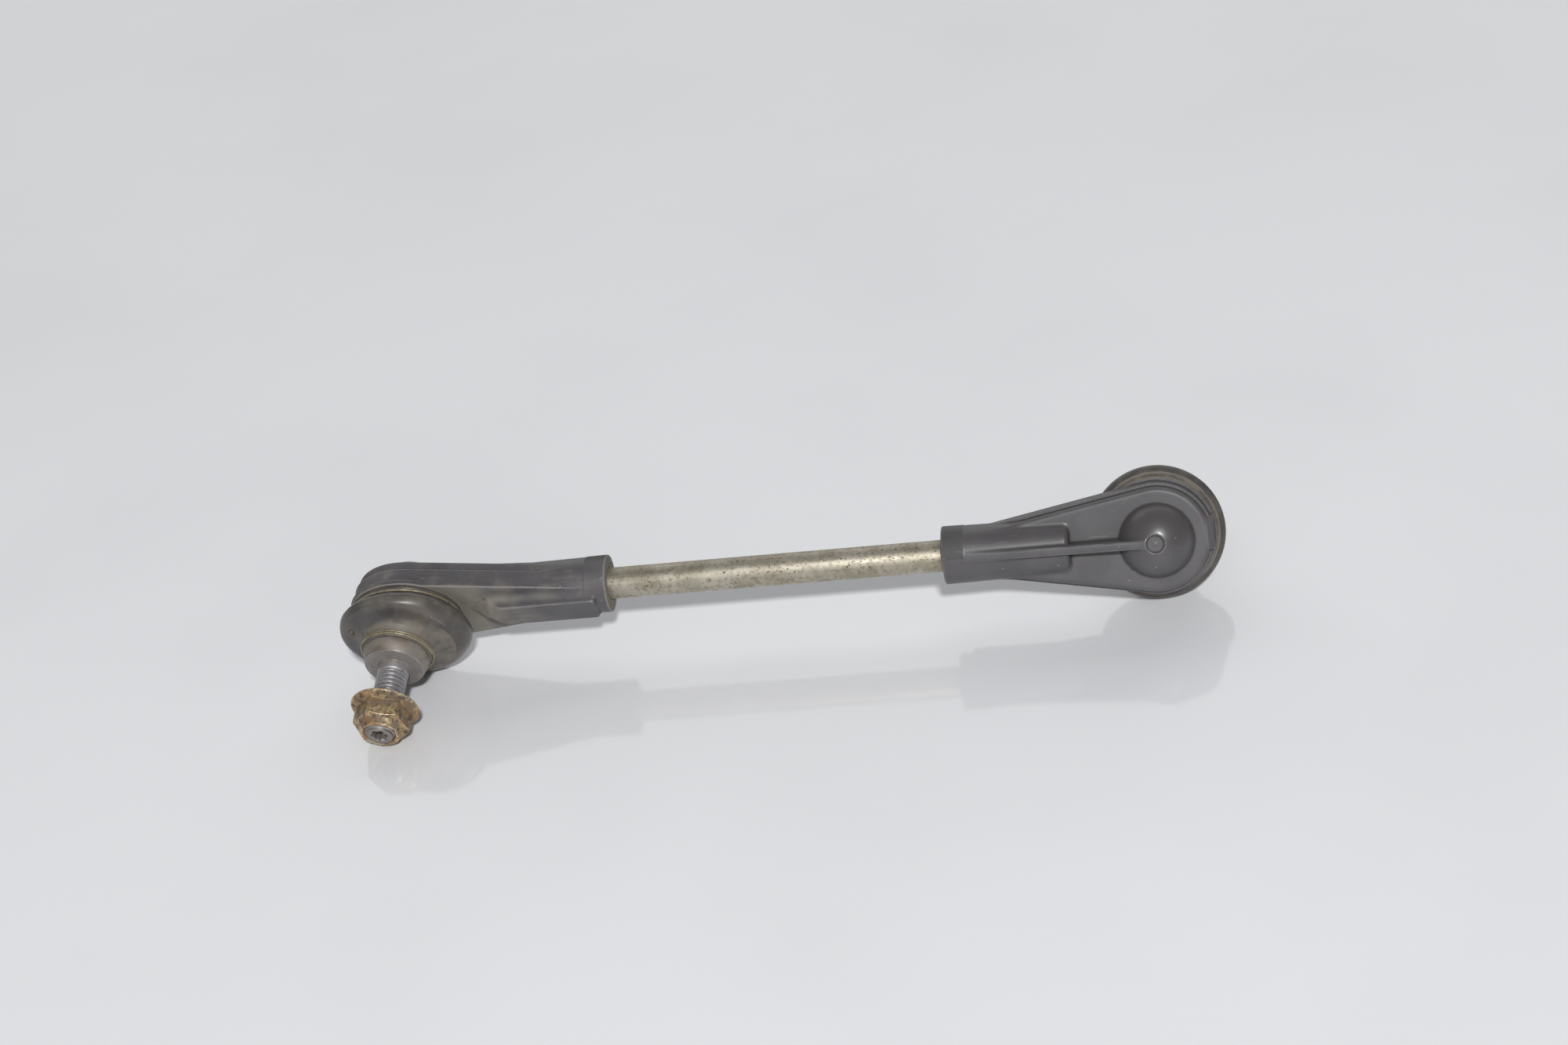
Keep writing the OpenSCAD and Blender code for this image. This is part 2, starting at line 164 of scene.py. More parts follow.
def closeFinish(graph, colour, rough, height, depth, **fixed):  # depth of the bump in mm
    normal = graph.node("ShaderNodeBump", None, {"Height": height, "Distance": depth * mm})
    sockets = {"Base Color": colour, "Roughness": rough, "Normal": normal}
    sockets.update({key.replace("_", " "): value for key, value in fixed.items()})
    shader = graph.node("ShaderNodeBsdfPrincipled", None, sockets)
    graph.node("ShaderNodeOutputMaterial", None, {"Surface": shader})


# finishes: tones, and grains and bump depths in mm
plasticLook = {
    "black": tone(80, 78, 80), "worn": tone(90, 88, 90), "edge": tone(130, 128, 127),
    # creaseShade is the colour of a painted shade in creases
    "polished": tone(77, 74, 75), "dust": tone(142, 136, 124), "creaseShade": tone(48, 46, 46),
    "scratch": tone(128, 126, 126), "grit": tone(200, 196, 188),
    "cloudGrain": 14, "fineGrain": 0.45, "streakGrain": 1.6, "filmGrain": 7, "rubGrain": 2.2,
    "scratchGrain": 0.9, "scratchTurn": (0.2, 0.4, 0.9), "scratchPatch": 9,
    "gritGrain": 2.6, "gritSize": 0.07, "gritPatch": 11, "bump": 0.05, "coat": 0.45, "coatRough": 0.26,
}


def makePlastic():
    look = plasticLook
    material, graph = newFinish("glass_filled_plastic")
    edge, dust = graph.painted("edge"), graph.painted("dust")
    polish, hollow = graph.painted("polish"), graph.painted("hollow")
    cloud, grain = graph.noise(look["cloudGrain"]), graph.noise(look["fineGrain"], 2)
    streak = graph.noise(look["streakGrain"], 2, graph.where((0.12, 1, 1)))
    colour = graph.mix(graph.soften(cloud + grain * 0.3, 0.45, 0.85), look["black"], look["worn"])
    colour = graph.mix(polish * 0.8, colour, look["polished"])
    film = dust * 0.6 + graph.noise(look["filmGrain"], 5) * 0.9 + streak * 0.35
    film = graph.soften(film, 0.78, 1.35)
    colour = graph.mix(film * 0.7, colour, look["dust"])
    # painted shade: creases and the patch at the collar go darker
    colour = graph.mix(hollow * 0.7, colour, look["creaseShade"])
    rubbed = graph.soften(edge * (0.4 + graph.noise(look["rubGrain"])), 0.25, 0.8)
    colour = graph.mix(rubbed * 0.6, colour, look["edge"])
    drawn = graph.noise(look["scratchGrain"], 1, graph.where((0.05, 1, 1), look["scratchTurn"]))
    lines = graph.soften(drawn, 0.71, 0.76) * graph.soften(graph.noise(look["scratchPatch"]), 0.5, 0.62)
    colour = graph.mix(lines * 0.6, colour, look["scratch"])
    grit = graph.specks(look["gritGrain"], look["gritSize"])
    grit = grit * graph.soften(graph.noise(look["gritPatch"]), 0.48, 0.6)
    colour = graph.mix(grit, colour, look["grit"])
    rough = 0.42 + cloud * 0.1 + film * 0.3 + hollow * 0.35 - rubbed * 0.08 - polish * 0.1
    height = (grain * 0.4 + cloud * 0.4 - lines * 0.5 + film * 0.3 + grit * 0.3) * (1 - polish * 0.85)
    closeFinish(graph, colour, rough, height, look["bump"], Specular_IOR_Level=0.5,
                Coat_Weight=polish * look["coat"], Coat_Roughness=look["coatRough"])
    return material


rubberLook = {
    "black": tone(74, 72, 71), "brown": tone(94, 88, 81), "dust": tone(124, 117, 106),
    "bloom": tone(104, 102, 100),
    "cloudGrain": 9, "fineGrain": 0.6, "bloomGrain": 3.0, "crustGrain": 3.2, "bump": 0.06, "gloss": 0.48,
}


def makeRubber():
    look = rubberLook
    material, graph = newFinish("boot_rubber")
    edge, dust = graph.painted("edge"), graph.painted("dust")
    cloud, grain = graph.noise(look["cloudGrain"]), graph.noise(look["fineGrain"], 2)
    colour = graph.mix(graph.soften(cloud, 0.38, 0.68), look["black"], look["brown"])
    bloom = graph.soften(graph.noise(look["bloomGrain"]), 0.52, 0.75)
    colour = graph.mix(bloom * 0.45, colour, look["bloom"])
    crust = dust * (graph.noise(look["crustGrain"], 5) * 1.5 + 0.05) - edge * 0.4
    crust = graph.soften(crust, 0.3, 1.0)
    colour = graph.mix(crust * 0.8, colour, look["dust"])
    rough = 0.25 + cloud * 0.12 + crust * 0.26
    height = grain * 0.4 + cloud * 0.6 + crust * 0.6
    closeFinish(graph, colour, rough, height, look["bump"], Specular_IOR_Level=look["gloss"])
    return material


rodLook = {
    "zinc": tone(166, 159, 142), "pale": tone(192, 186, 172), "olive": tone(138, 130, 111),
    "pit": tone(58, 50, 42),
    "cloudGrain": 10, "drawnGrain": 0.7, "mottleGrain": 1.4, "pitGrain": 0.6, "pitPatch": 8, "bump": 0.05,
}


def makeRodZinc():
    look = rodLook
    material, graph = newFinish("rod_zinc")
    cloud, mottle = graph.noise(look["cloudGrain"]), graph.noise(look["mottleGrain"], 4)
    drawn = graph.noise(look["drawnGrain"], 2, graph.where((0.03, 1, 1)))
    colour = graph.mix(graph.soften(cloud, 0.35, 0.7), look["zinc"], look["pale"])
    colour = graph.mix(graph.soften(mottle + drawn * 0.4, 0.62, 0.95) * 0.7, colour, look["olive"])
    pits = graph.soften(graph.noise(look["pitGrain"], 3, graph.where((0.6, 1, 1))), 0.62, 0.67)
    pits = pits * graph.soften(graph.noise(look["pitPatch"]), 0.42, 0.56)
    colour = graph.mix(pits * 0.9, colour, look["pit"])
    rough = 0.45 + mottle * 0.14 + pits * 0.3
    height = drawn * 0.3 + mottle * 0.3 - pits
    closeFinish(graph, colour, rough, height, look["bump"], Metallic=0.85 - pits * 0.6)
    return material


studLook = {
    "steel": tone(144, 137, 130), "brown": tone(126, 117, 107), "rust": tone(116, 98, 80),
    "thread": tone(176, 174, 176), "oilAndShade": tone(132, 130, 132), "end": tone(146, 140, 135),
    "cloudGrain": 5, "mottleGrain": 1.1, "bump": 0.03,
}


def makeStudSteel():
    look = studLook
    material, graph = newFinish("stud_steel")
    bright, edge, hollow = graph.painted("bright"), graph.painted("edge"), graph.painted("hollow")
    cloud, mottle = graph.noise(look["cloudGrain"]), graph.noise(look["mottleGrain"], 4)
    body = graph.mix(graph.soften(cloud, 0.4, 0.65), look["steel"], look["brown"])
    rust = graph.soften(mottle + cloud * 0.4, 0.78, 0.98)
    body = graph.mix(rust * 0.5, body, look["rust"])
    # the plating leans to the darker tone in patches of oil and, as a painted shade, in the thread's roots
    plated = graph.mix(graph.soften(mottle + hollow * 0.2, 0.5, 0.8), look["thread"], look["oilAndShade"])
    colour = graph.mix(bright, body, plated)
    colour = graph.mix(graph.painted("soot"), colour, look["end"])
    rough = 0.44 + mottle * 0.12 + bright * 0.02 - edge * 0.1
    height = (mottle + rust * 0.4) * (1 - bright * 0.75)
    closeFinish(graph, colour, rough, height, look["bump"], Metallic=0.35 + bright * 0.35 - rust * 0.2)
    return material


nutLook = {
    "gold": tone(158, 133, 98), "straw": tone(204, 184, 144), "rust": tone(120, 102, 86),
    "soot": tone(82, 74, 68), "orange": tone(168, 126, 84), "worn": tone(214, 203, 182),
    "cloudGrain": 4.5, "mottleGrain": 1.3, "orangeGrain": 6, "sootGrain": 2.1, "bump": 0.06,
}


def makeNutChromate():
    look = nutLook
    material, graph = newFinish("yellow_chromate")
    edge = graph.painted("edge")
    cloud, mottle = graph.noise(look["cloudGrain"], 4), graph.noise(look["mottleGrain"], 5)
    colour = graph.mix(graph.soften(mottle, 0.44, 0.6), look["gold"], look["straw"])
    orange = graph.soften(graph.noise(look["orangeGrain"], 2), 0.5, 0.6)
    colour = graph.mix(orange * 0.7, colour, look["orange"])
    rust = graph.soften(cloud + mottle * 0.35 - edge * 0.2, 0.6, 0.76)
    colour = graph.mix(rust * 0.9, colour, look["rust"])
    soot = graph.soften(graph.noise(look["sootGrain"], 4), 0.54, 0.63)
    colour = graph.mix(soot * 0.8, colour, look["soot"])
    rubbed = graph.soften(edge * (0.15 + mottle * 1.2), 0.4, 0.9)
    colour = graph.mix(rubbed * 0.7, colour, look["worn"])
    rough = 0.4 + rust * 0.22 + mottle * 0.1
    height = mottle * 0.8 + rust * 0.6
    closeFinish(graph, colour, rough, height, look["bump"], Metallic=0.55 - rust * 0.3)
    return material


wireLook = {"tan": tone(152, 142, 120), "grime": tone(112, 103, 89), "grain": 1.6, "bump": 0.05}


def makeClampWire():
    look = wireLook
    material, graph = newFinish("clamp_wire")
    mottle = graph.noise(look["grain"], 4)
    dirt = graph.soften(mottle, 0.46, 0.7)
    colour = graph.mix(dirt, look["tan"], look["grime"])
    closeFinish(graph, colour, 0.42 + dirt * 0.25, mottle, look["bump"], Metallic=0.45 - dirt * 0.25)
    return material


innerLook = {
    "acetal": tone(226, 222, 208), "greased": tone(190, 178, 146),
    "ring": tone(64, 62, 63), "ringPale": tone(84, 82, 82),
    "filmGrain": 5, "fineGrain": 0.8, "bump": 0.04,
}


def makeInnerPlastic(name, plain, marked):
    look = innerLook
    material, graph = newFinish(name)
    film = graph.noise(look["filmGrain"])
    colour = graph.mix(graph.soften(film, 0.45, 0.7), look[plain], look[marked])
    closeFinish(graph, colour, 0.4 + film * 0.15, graph.noise(look["fineGrain"], 2), look["bump"])
    return material


plastic, rubber, rodZinc = makePlastic(), makeRubber(), makeRodZinc()
studSteel, nutChromate, clampWire = makeStudSteel(), makeNutChromate(), makeClampWire()
acetal = makeInnerPlastic("shell_acetal", "acetal", "greased")
weldRing = makeInnerPlastic("closing_ring_plastic", "ring", "ringPale")
print("finishes: %d" % len(bpy.data.materials))


# mesh helpers
def paintValue(mesh, name, values):
    layer = mesh.attributes.get(name) or mesh.attributes.new(name, "FLOAT", "POINT")
    layer.data.foreach_set("value", np.asarray(values, np.float32))


def readValue(mesh, name):
    values = np.zeros(len(mesh.vertices), np.float32)
    mesh.attributes[name].data.foreach_get("value", values)
    return values


def readVectors(source, key):
    values = np.zeros(len(source) * 3)
    source.foreach_get(key, values)
    return values.reshape(-1, 3)


def inEnd(mesh, place):  # x, y and z of a placed mesh's points, back in the end's frame
    return ((readVectors(mesh.vertices, "co") / mm - place[:3, 3]) @ place[:3, :3]).T


wearAndShade = {  # how far a surface bends, in 1/mm, before it counts as an edge for wear or a crease for painted shade
    "edgeFrom": 0.12, "edgeSpan": 0.9, "hollowFrom": 0.08, "hollowSpan": 0.6,
    "dustSide": 0.5, "dustUp": 0.3, "dustMost": 1.4,
}


def paintWearAndShade(mesh, dustiness):  # bulging edges get 'edge' for wear, creases get a painted shade, faces that look up get 'dust'
    count = len(mesh.vertices)
    place = readVectors(mesh.vertices, "co")
    normal = readVectors(mesh.vertex_normals, "vector")
    pairs = np.zeros(len(mesh.edges) * 2, int)
    mesh.edges.foreach_get("vertices", pairs)
    a, b = pairs.reshape(-1, 2).T
    run = place[a] - place[b]
    bend = ((normal[a] - normal[b]) * run).sum(1) / np.maximum((run ** 2).sum(1), 1e-14) * mm
    total, tally = np.zeros(count), np.zeros(count)
    for end in (a, b):
        np.add.at(total, end, bend)
        np.add.at(tally, end, 1)
    curve = total / np.maximum(tally, 1)
    dust = dustiness * (wearAndShade["dustSide"] + wearAndShade["dustUp"] * normal[:, 2])
    paintValue(mesh, "edge", np.clip((curve - wearAndShade["edgeFrom"]) / wearAndShade["edgeSpan"], 0, 1))
    # painted shade in the creases
    paintValue(mesh, "hollow", np.clip((-curve - wearAndShade["hollowFrom"]) / wearAndShade["hollowSpan"], 0, 1))
    paintValue(mesh, "dust", np.clip(dust, 0, wearAndShade["dustMost"]))


def cleanMesh(mesh, gap):  # merges doubles and turns the faces outwards
    work = bmesh.new()
    work.from_mesh(mesh)
    bmesh.ops.remove_doubles(work, verts=work.verts, dist=gap)
    bmesh.ops.recalc_face_normals(work, faces=work.faces)
    work.to_mesh(mesh)
    work.free()


def makePiece(name, points, faces, place, material, dustiness=0.6):
    mesh = bpy.data.meshes.new(name)
    mesh.from_pydata((moved(points, place) * mm).tolist(), [], faces)
    cleanMesh(mesh, 1e-6)
    return finishPiece(name, mesh, material, dustiness)


def finishPiece(name, mesh, material, dustiness):
    mesh.name = name
    mesh.materials.clear()
    mesh.materials.append(material)
    mesh.shade_smooth()
    paintWearAndShade(mesh, dustiness)
    piece = bpy.data.objects.new(name, mesh)
    bpy.context.scene.collection.objects.link(piece)
    return piece


def joinRings(rings, steps, loop=False):  # quads between rings of equal count, each ring a list of points
    points = np.concatenate(rings)
    rows = len(rings) - (0 if loop else 1)
    faces = []
    for i in range(rows):
        low, high = i * steps, (i + 1) % len(rings) * steps
        faces += [(low + j, low + (j + 1) % steps, high + (j + 1) % steps, high + j) for j in range(steps)]
    return points, faces


def lathe(profile, steps, loop=False):  # a ring for each (radius, height); both may vary round the ring
    angle = np.linspace(0, 2 * np.pi, steps, endpoint=False)
    rings = [np.c_[r * np.cos(angle), r * np.sin(angle), z * np.ones(steps)] for r, z in profile]
    return joinRings(rings, steps, loop)


def roundCorners(corners, arc=5, most=0.48):  # corners are (radius, height, rounding)
    line = []
    for i, (r, z, rounding) in enumerate(corners):
        here = np.array((r, z))
        if not rounding or i in (0, len(corners) - 1):
            line.append(here)
            continue
        back, on = np.array(corners[i - 1][:2]) - here, np.array(corners[i + 1][:2]) - here
        cut = min(rounding, most * np.linalg.norm(back), most * np.linalg.norm(on))
        start, end = here + back / np.linalg.norm(back) * cut, here + on / np.linalg.norm(on) * cut
        for t in np.linspace(0, 1, arc):
            line.append(start * (1 - t) ** 2 + here * 2 * t * (1 - t) + end * t ** 2)
    return line


# geometry nodes: each tree has named sizes and ends in Realize Instances and Set Material
def newTree(name, sizes):
    tree = bpy.data.node_groups.new(name, "GeometryNodeTree")
    tree.interface.new_socket("Geometry", in_out="INPUT", socket_type="NodeSocketGeometry")
    for size in sizes:
        tree.interface.new_socket(size, in_out="INPUT", socket_type="NodeSocketFloat")
    tree.interface.new_socket("Material", in_out="INPUT", socket_type="NodeSocketMaterial")
    tree.interface.new_socket("Geometry", in_out="OUTPUT", socket_type="NodeSocketGeometry")
    graph = Graph(tree)
    given = tree.nodes.new("NodeGroupInput")
    return graph, {s.name: Wire(graph, s) for s in given.outputs if s.name}


def closeTree(graph, geometry, given):
    solid = graph.node("GeometryNodeRealizeInstances", None, {"Geometry": geometry})
    sockets = {"Geometry": solid, "Material": given["Material"]}
    dressed = graph.node("GeometryNodeSetMaterial", None, sockets)
    graph.node("NodeGroupOutput", None, {"Geometry": dressed})
    return graph.tree


def runTree(tree, sizes, material, base=None):  # the tree's result as a plain mesh, still in millimetres
    carrier = bpy.data.objects.new("carrier", base or bpy.data.meshes.new("carrier"))
    bpy.context.scene.collection.objects.link(carrier)
    modifier = carrier.modifiers.new("tree", "NODES")
    modifier.node_group = tree
    for socket in tree.interface.items_tree:
        if socket.in_out == "INPUT" and socket.name in sizes:
            modifier[socket.identifier] = sizes[socket.name]
        elif socket.in_out == "INPUT" and socket.name == "Material":
            modifier[socket.identifier] = material
    bpy.context.view_layer.update()
    mesh = bpy.data.meshes.new_from_object(carrier.evaluated_get(bpy.context.evaluated_depsgraph_get()))
    carrier.modifiers.clear()
    bpy.data.objects.remove(carrier)
    return mesh


def placeMesh(mesh, place):
    mesh.transform(Matrix.Scale(mm, 4) @ Matrix(place.tolist()))
    cleanMesh(mesh, 1e-7)
    return mesh


def threadTree(flank=(0.12, 0.88)):  # cuts a helical thread into a turned shank that stands along Z
    graph, given = newTree("cut_thread", ("Pitch", "Depth", "Start", "End", "Run Out", "Core"))
    place = graph.node("GeometryNodeInputPosition")
    x, y, z = (graph.node("ShaderNodeSeparateXYZ", None, {"Vector": place}, out=i) for i in range(3))
    around = x.calc("ARCTAN2", y, x) / (2 * math.pi)
    phase = x.calc("FRACT", z / given["Pitch"] - around)
    ridge = x.calc("ABSOLUTE", phase * 2 - 1)
    groove = 1 - graph.soften(ridge, *flank)
    cutIn = graph.soften(z, given["Start"], given["Start"] + given["Run Out"])
    cutOut = 1 - graph.soften(z, given["End"] - given["Run Out"], given["End"])
    radius = x.calc("SQRT", x * x + y * y)
    outside = radius > given["Core"]
    depth = groove * cutIn * cutOut * outside * given["Depth"]
    share = 0 - depth / x.calc("MAXIMUM", radius, 0.01)
    offset = graph.node("ShaderNodeCombineXYZ", None, {"X": x * share, "Y": y * share})
    cut = graph.node("GeometryNodeSetPosition", None, {"Geometry": given["Geometry"], "Offset": offset})
    return closeTree(graph, cut, given)


def wireRingTree():  # round wire wound in close turns round Z
    graph, given = newTree("wire_ring", ("Radius", "Wire", "Turns", "Height"))
    spiral = graph.node("GeometryNodeCurveSpiral", None, {
        "Resolution": 96, "Rotations": given["Turns"], "Start Radius": given["Radius"],
        "End Radius": given["Radius"], "Height": given["Height"]})
    section = graph.node("GeometryNodeCurvePrimitiveCircle", {"mode": "RADIUS"}, {
        "Resolution": 12, "Radius": given["Wire"] / 2})
    wire = graph.node("GeometryNodeCurveToMesh", None, {
        "Curve": spiral, "Profile Curve": section, "Fill Caps": True})
    return closeTree(graph, wire, given)


# sizes that several pieces share, in mm in the end's frame
armLength, rodR, seatGap = 66.5, 5.0, 0.05
frontZ = 5.539  # front face of the housing
bootSeatZ = frontZ + 11.95  # shoulder of the stud that carries the boot
faceZ = bootSeatZ + 9.1  # outer face of the stud's collar
cavityR, plateR, flankStep = 10.23, 16.33, 1.0
counterboreR = cavityR + 3.0
spigotR = counterboreR + 2.2
rodTip = armLength - 36.5

# housing: one moulding, filleted where its forms meet
housing = {
    "plateBack": 4.6, "stepBack": 1.0, "taper": 10.3,
    "seatR": plateR + 2 * flankStep, "seatT": 2.0, "headR": plateR + flankStep, "spigotTop": frontZ + 3.1,
    "barrelX": rodTip - 3.0, "barrelR": rodR + 4.1, "barrelInnerR": rodR + 3.5,
    "padHalf": 5.0, "padTop": frontZ + 4.0, "padTip": 21.5, "padAngle": 49, "padSlope": 0.9,
    "padEnd": armLength - 4.0,
    "domeR": cavityR + 2.2, "domeFoot": 0.35, "dimpleX": 0.4, "dimpleR": 2.8, "dimpleDepth": 0.75,
    "dimpleEdge": 0.2, "pipR": 0.9, "pipRise": 0.2,
    "ribHalf": 1.4, "ribEnd": armLength - 6.4, "ribSink": 0.35,
    "gateHalf": 5.3, "gateFoot": plateR - 0.7, "gateTop": plateR + 1.5, "gateRound": 0.3,
    "gateMidZ": 1.5, "gateHalfZ": 2.5,
    "patchX": armLength - 7.1, "patchRise": 0.12, "patchEnd": 0.2, "patchSide": 0.3,
    "ringSeatZ": frontZ - 1.6, "grooveDepth": 0.6, "grooveW": 2.4, "grooves": 4, "groovePitch": 7.3,
    "fillet": 0.8, "edge": 0.9, "stepEdge": 0.5, "backEdge": 1.5,
    "low": (-20.0, -20.0, -14.0), "high": (68.5, 20.0, 11.0), "step": 0.37,
    "domeSkin": 0.2, "domeStart": 0.4, "polishFade": 5.0, "bossSkin": (-0.2, 0.8), "bossPolish": 0.5,
    # painted shade on the patch at the collar: its strength, and where it comes in towards the back
    "patchShade": 0.5, "patchFrom": 2.0, "patchFade": 3.0,
    "dust": {"left": 0.45, "right": 0.15}, "bootDust": 1.1, "bootDustReach": 45.0, "mouthDust": 2.0,
    "mouth": 0.6, "dustMost": 1.6,
}


def softMin(a, b, k):  # union with a fillet
    h = np.clip(0.5 + 0.5 * (b - a) / k, 0, 1)
    return b + (a - b) * h - k * h * (1 - h)


def softMax(a, b, k):  # intersection with a rounded edge
    return -softMin(-a, -b, k)


def armOutline(x, y, r):
    t = math.radians(housing["taper"])
    side = np.abs(y)
    flank = side * math.cos(t) + x * math.sin(t) - r
    return np.where(x * math.cos(t) < side * math.sin(t), np.hypot(x, y) - r, flank)


def grooveBand(x, gap):  # true inside a groove of the rod, x from the ball centre
    pitch = housing["groovePitch"]
    centre = rodTip + np.round((x - rodTip) / pitch) * pitch
    inside = np.abs(x - centre) < housing["grooveW"] / 2 - gap
    return inside & (centre > rodTip + 1) & (centre < rodTip + housing["grooves"] * pitch + 1)


def housingField(x, y, z):
    h = housing
    fillet, edge, stepEdge = h["fillet"], h["edge"], h["stepEdge"]
    plan = np.hypot(x, y)
    plate = softMax(armOutline(x, y, plateR), -h["plateBack"] - z, h["backEdge"])
    plate = np.maximum(plate, z)
    web = softMax(armOutline(x, y, h["headR"]), -h["stepBack"] - z, stepEdge)
    web = softMax(web, z - frontZ, stepEdge)
    seatBack = frontZ - h["seatT"]
    seat = softMax(plan - h["seatR"], seatBack - z, stepEdge)
    seat = softMax(seat, z - frontZ, stepEdge)
    spigot = np.maximum(np.maximum(plan - spigotR, z - h["spigotTop"]), -z)
    dome = np.maximum(np.sqrt(plan ** 2 + z ** 2) - h["domeR"], z)
    share = (x - h["barrelX"]) / (armLength - h["barrelX"])
    patch = np.clip((x - h["patchX"]) / h["patchEnd"], 0, 1) * np.clip(y / h["patchSide"], 0, 1)
    barrelR = h["barrelInnerR"] + (h["barrelR"] - h["barrelInnerR"]) * share + h["patchRise"] * patch
    barrel = softMax(np.hypot(y, z) - barrelR, h["barrelX"] - x, 2 * edge)
    bow = math.radians(h["padAngle"])
    ramp = (x - h["padTip"]) * math.sin(bow) - np.abs(y) * math.cos(bow)
    pad = softMax(np.abs(y) - h["padHalf"], z - h["padTop"], edge)
    pad = softMax(pad, z - frontZ - ramp * h["padSlope"], edge)
    pad = np.maximum(softMax(pad, x - h["padEnd"], edge), -z)
    ribStart = -math.sqrt(h["domeR"] ** 2 - h["dimpleR"] ** 2)
    slope = (h["ribSink"] - h["barrelR"] - ribStart) / (h["ribEnd"] - h["dimpleR"])
    rib = softMax(np.abs(y) - h["ribHalf"], ribStart + (x - h["dimpleR"]) * slope - z, edge)
    rib = np.maximum(softMax(rib, x - h["ribEnd"], edge), np.maximum(-x, z))

    body = softMin(plate, web, fillet / 2)
    body = softMin(body, seat, fillet / 2)
    body = np.minimum(softMin(body, dome, h["domeFoot"]), spigot)
    body = softMin(body, barrel, fillet)
    body = softMin(softMin(body, pad, fillet), rib, fillet)
    body = softMax(body, x - armLength, stepEdge)

    floor = -h["domeR"] + h["dimpleDepth"]
    cupped = np.hypot(x - h["dimpleX"], y)
    body = softMax(body, -np.maximum(cupped - h["dimpleR"], z - floor), h["dimpleEdge"])
    pip = np.sqrt(cupped ** 2 + (z - floor - h["pipR"] + h["pipRise"]) ** 2) - h["pipR"]
    body = softMin(body, pip, h["pipRise"])
    lean = math.atan2(h["gateTop"] - h["gateFoot"], seatBack + h["stepBack"])
    ramp = -(x + h["gateFoot"]) * math.cos(lean) - (z + h["stepBack"]) * math.sin(lean)
    flat = softMin(-x - h["gateFoot"], ramp, stepEdge)
    inGate = np.abs(y) - h["gateHalf"]
    block = np.maximum(np.maximum(inGate, plan - h["seatR"]), np.abs(z - h["gateMidZ"]) - h["gateHalfZ"])
    body = softMin(body, np.maximum(block, x), h["gateRound"])
    body = softMax(body, -np.maximum(inGate, np.maximum(-flat, z - seatBack)), h["gateRound"])

    cup = np.minimum(np.sqrt(plan ** 2 + z ** 2), np.where(z > 0, plan, np.inf)) - cavityR
    counterbore = np.maximum(plan - counterboreR, h["ringSeatZ"] - z)
    cup = np.minimum(np.maximum(cup, z - h["ringSeatZ"]), counterbore)
    bore = rodR + seatGap - np.where(grooveBand(x, seatGap), h["grooveDepth"], 0)
    hole = np.maximum(np.hypot(y, z) - bore, rodTip - seatGap - x)
    return np.maximum(body, np.maximum(-cup, -hole))


def fieldMesh(field, low, high, step, pulls=3):  # one point for each cell that the surface crosses
    axes = [np.arange(a, b + step, step) for a, b in zip(low, high)]
    value = field(*np.meshgrid(*axes, indexing="ij"))
    inside = value < 0
    size = [n - 1 for n in value.shape]
    corner = [(i, j, k) for i in (0, 1) for j in (0, 1) for k in (0, 1)]
    cut = {c: tuple(slice(c[d], c[d] + size[d]) for d in range(3)) for c in corner}
    total, count = np.zeros(size + [3]), np.zeros(size)
    for a in corner:
        for d in range(3):
            if a[d]:
                continue
            b = tuple(v + (e == d) for e, v in enumerate(a))
            crossed = inside[cut[a]] != inside[cut[b]]
            va, vb = value[cut[a]], value[cut[b]]
            t = np.where(crossed, va / np.where(crossed, va - vb, 1), 0)
            for e in range(3):
                total[..., e] += crossed * (t if e == d else a[e])
            count += crossed
    cells = np.argwhere(count > 0)
    number = np.full(size, -1)
    number[tuple(cells.T)] = np.arange(len(cells))
    points = (cells + total[count > 0] / count[count > 0][:, None]) * step + np.array([a[0] for a in axes])
    faces = []
    for d in range(3):
        u, v = (d + 1) % 3, (d + 2) % 3
        inner = [slice(1, -1)] * 3
        inner[d] = slice(0, -1)
        onward = list(inner)
        onward[d] = slice(1, None)
        first, second = inside[tuple(inner)], inside[tuple(onward)]
        spots = np.argwhere(first != second)
        flip = first[tuple(spots.T)]
        origin = spots + np.array([0 if e == d else 1 for e in range(3)])
        around = []
        for du, dv in ((1, 1), (0, 1), (0, 0), (1, 0)):
            cell = origin.copy()
            cell[:, u] -= du
            cell[:, v] -= dv
            around.append(number[tuple(cell.T)])
        quads = np.stack(around, 1)
        quads[~flip] = quads[~flip][:, ::-1]
        faces += quads.tolist()
    small = step * 0.05
    for _ in range(pulls):  # onto the zero level
        here, slope = field(*points.T), []
        for nudge in small * np.eye(3):
            slope.append((field(*(points + nudge).T) - field(*(points - nudge).T)) / (2 * small))
        slope = np.stack(slope, 1)
        pull = here[:, None] * slope / np.maximum((slope ** 2).sum(1), 0.25)[:, None]
        points = points - np.clip(pull, -step / 3, step / 3)
    return points, faces


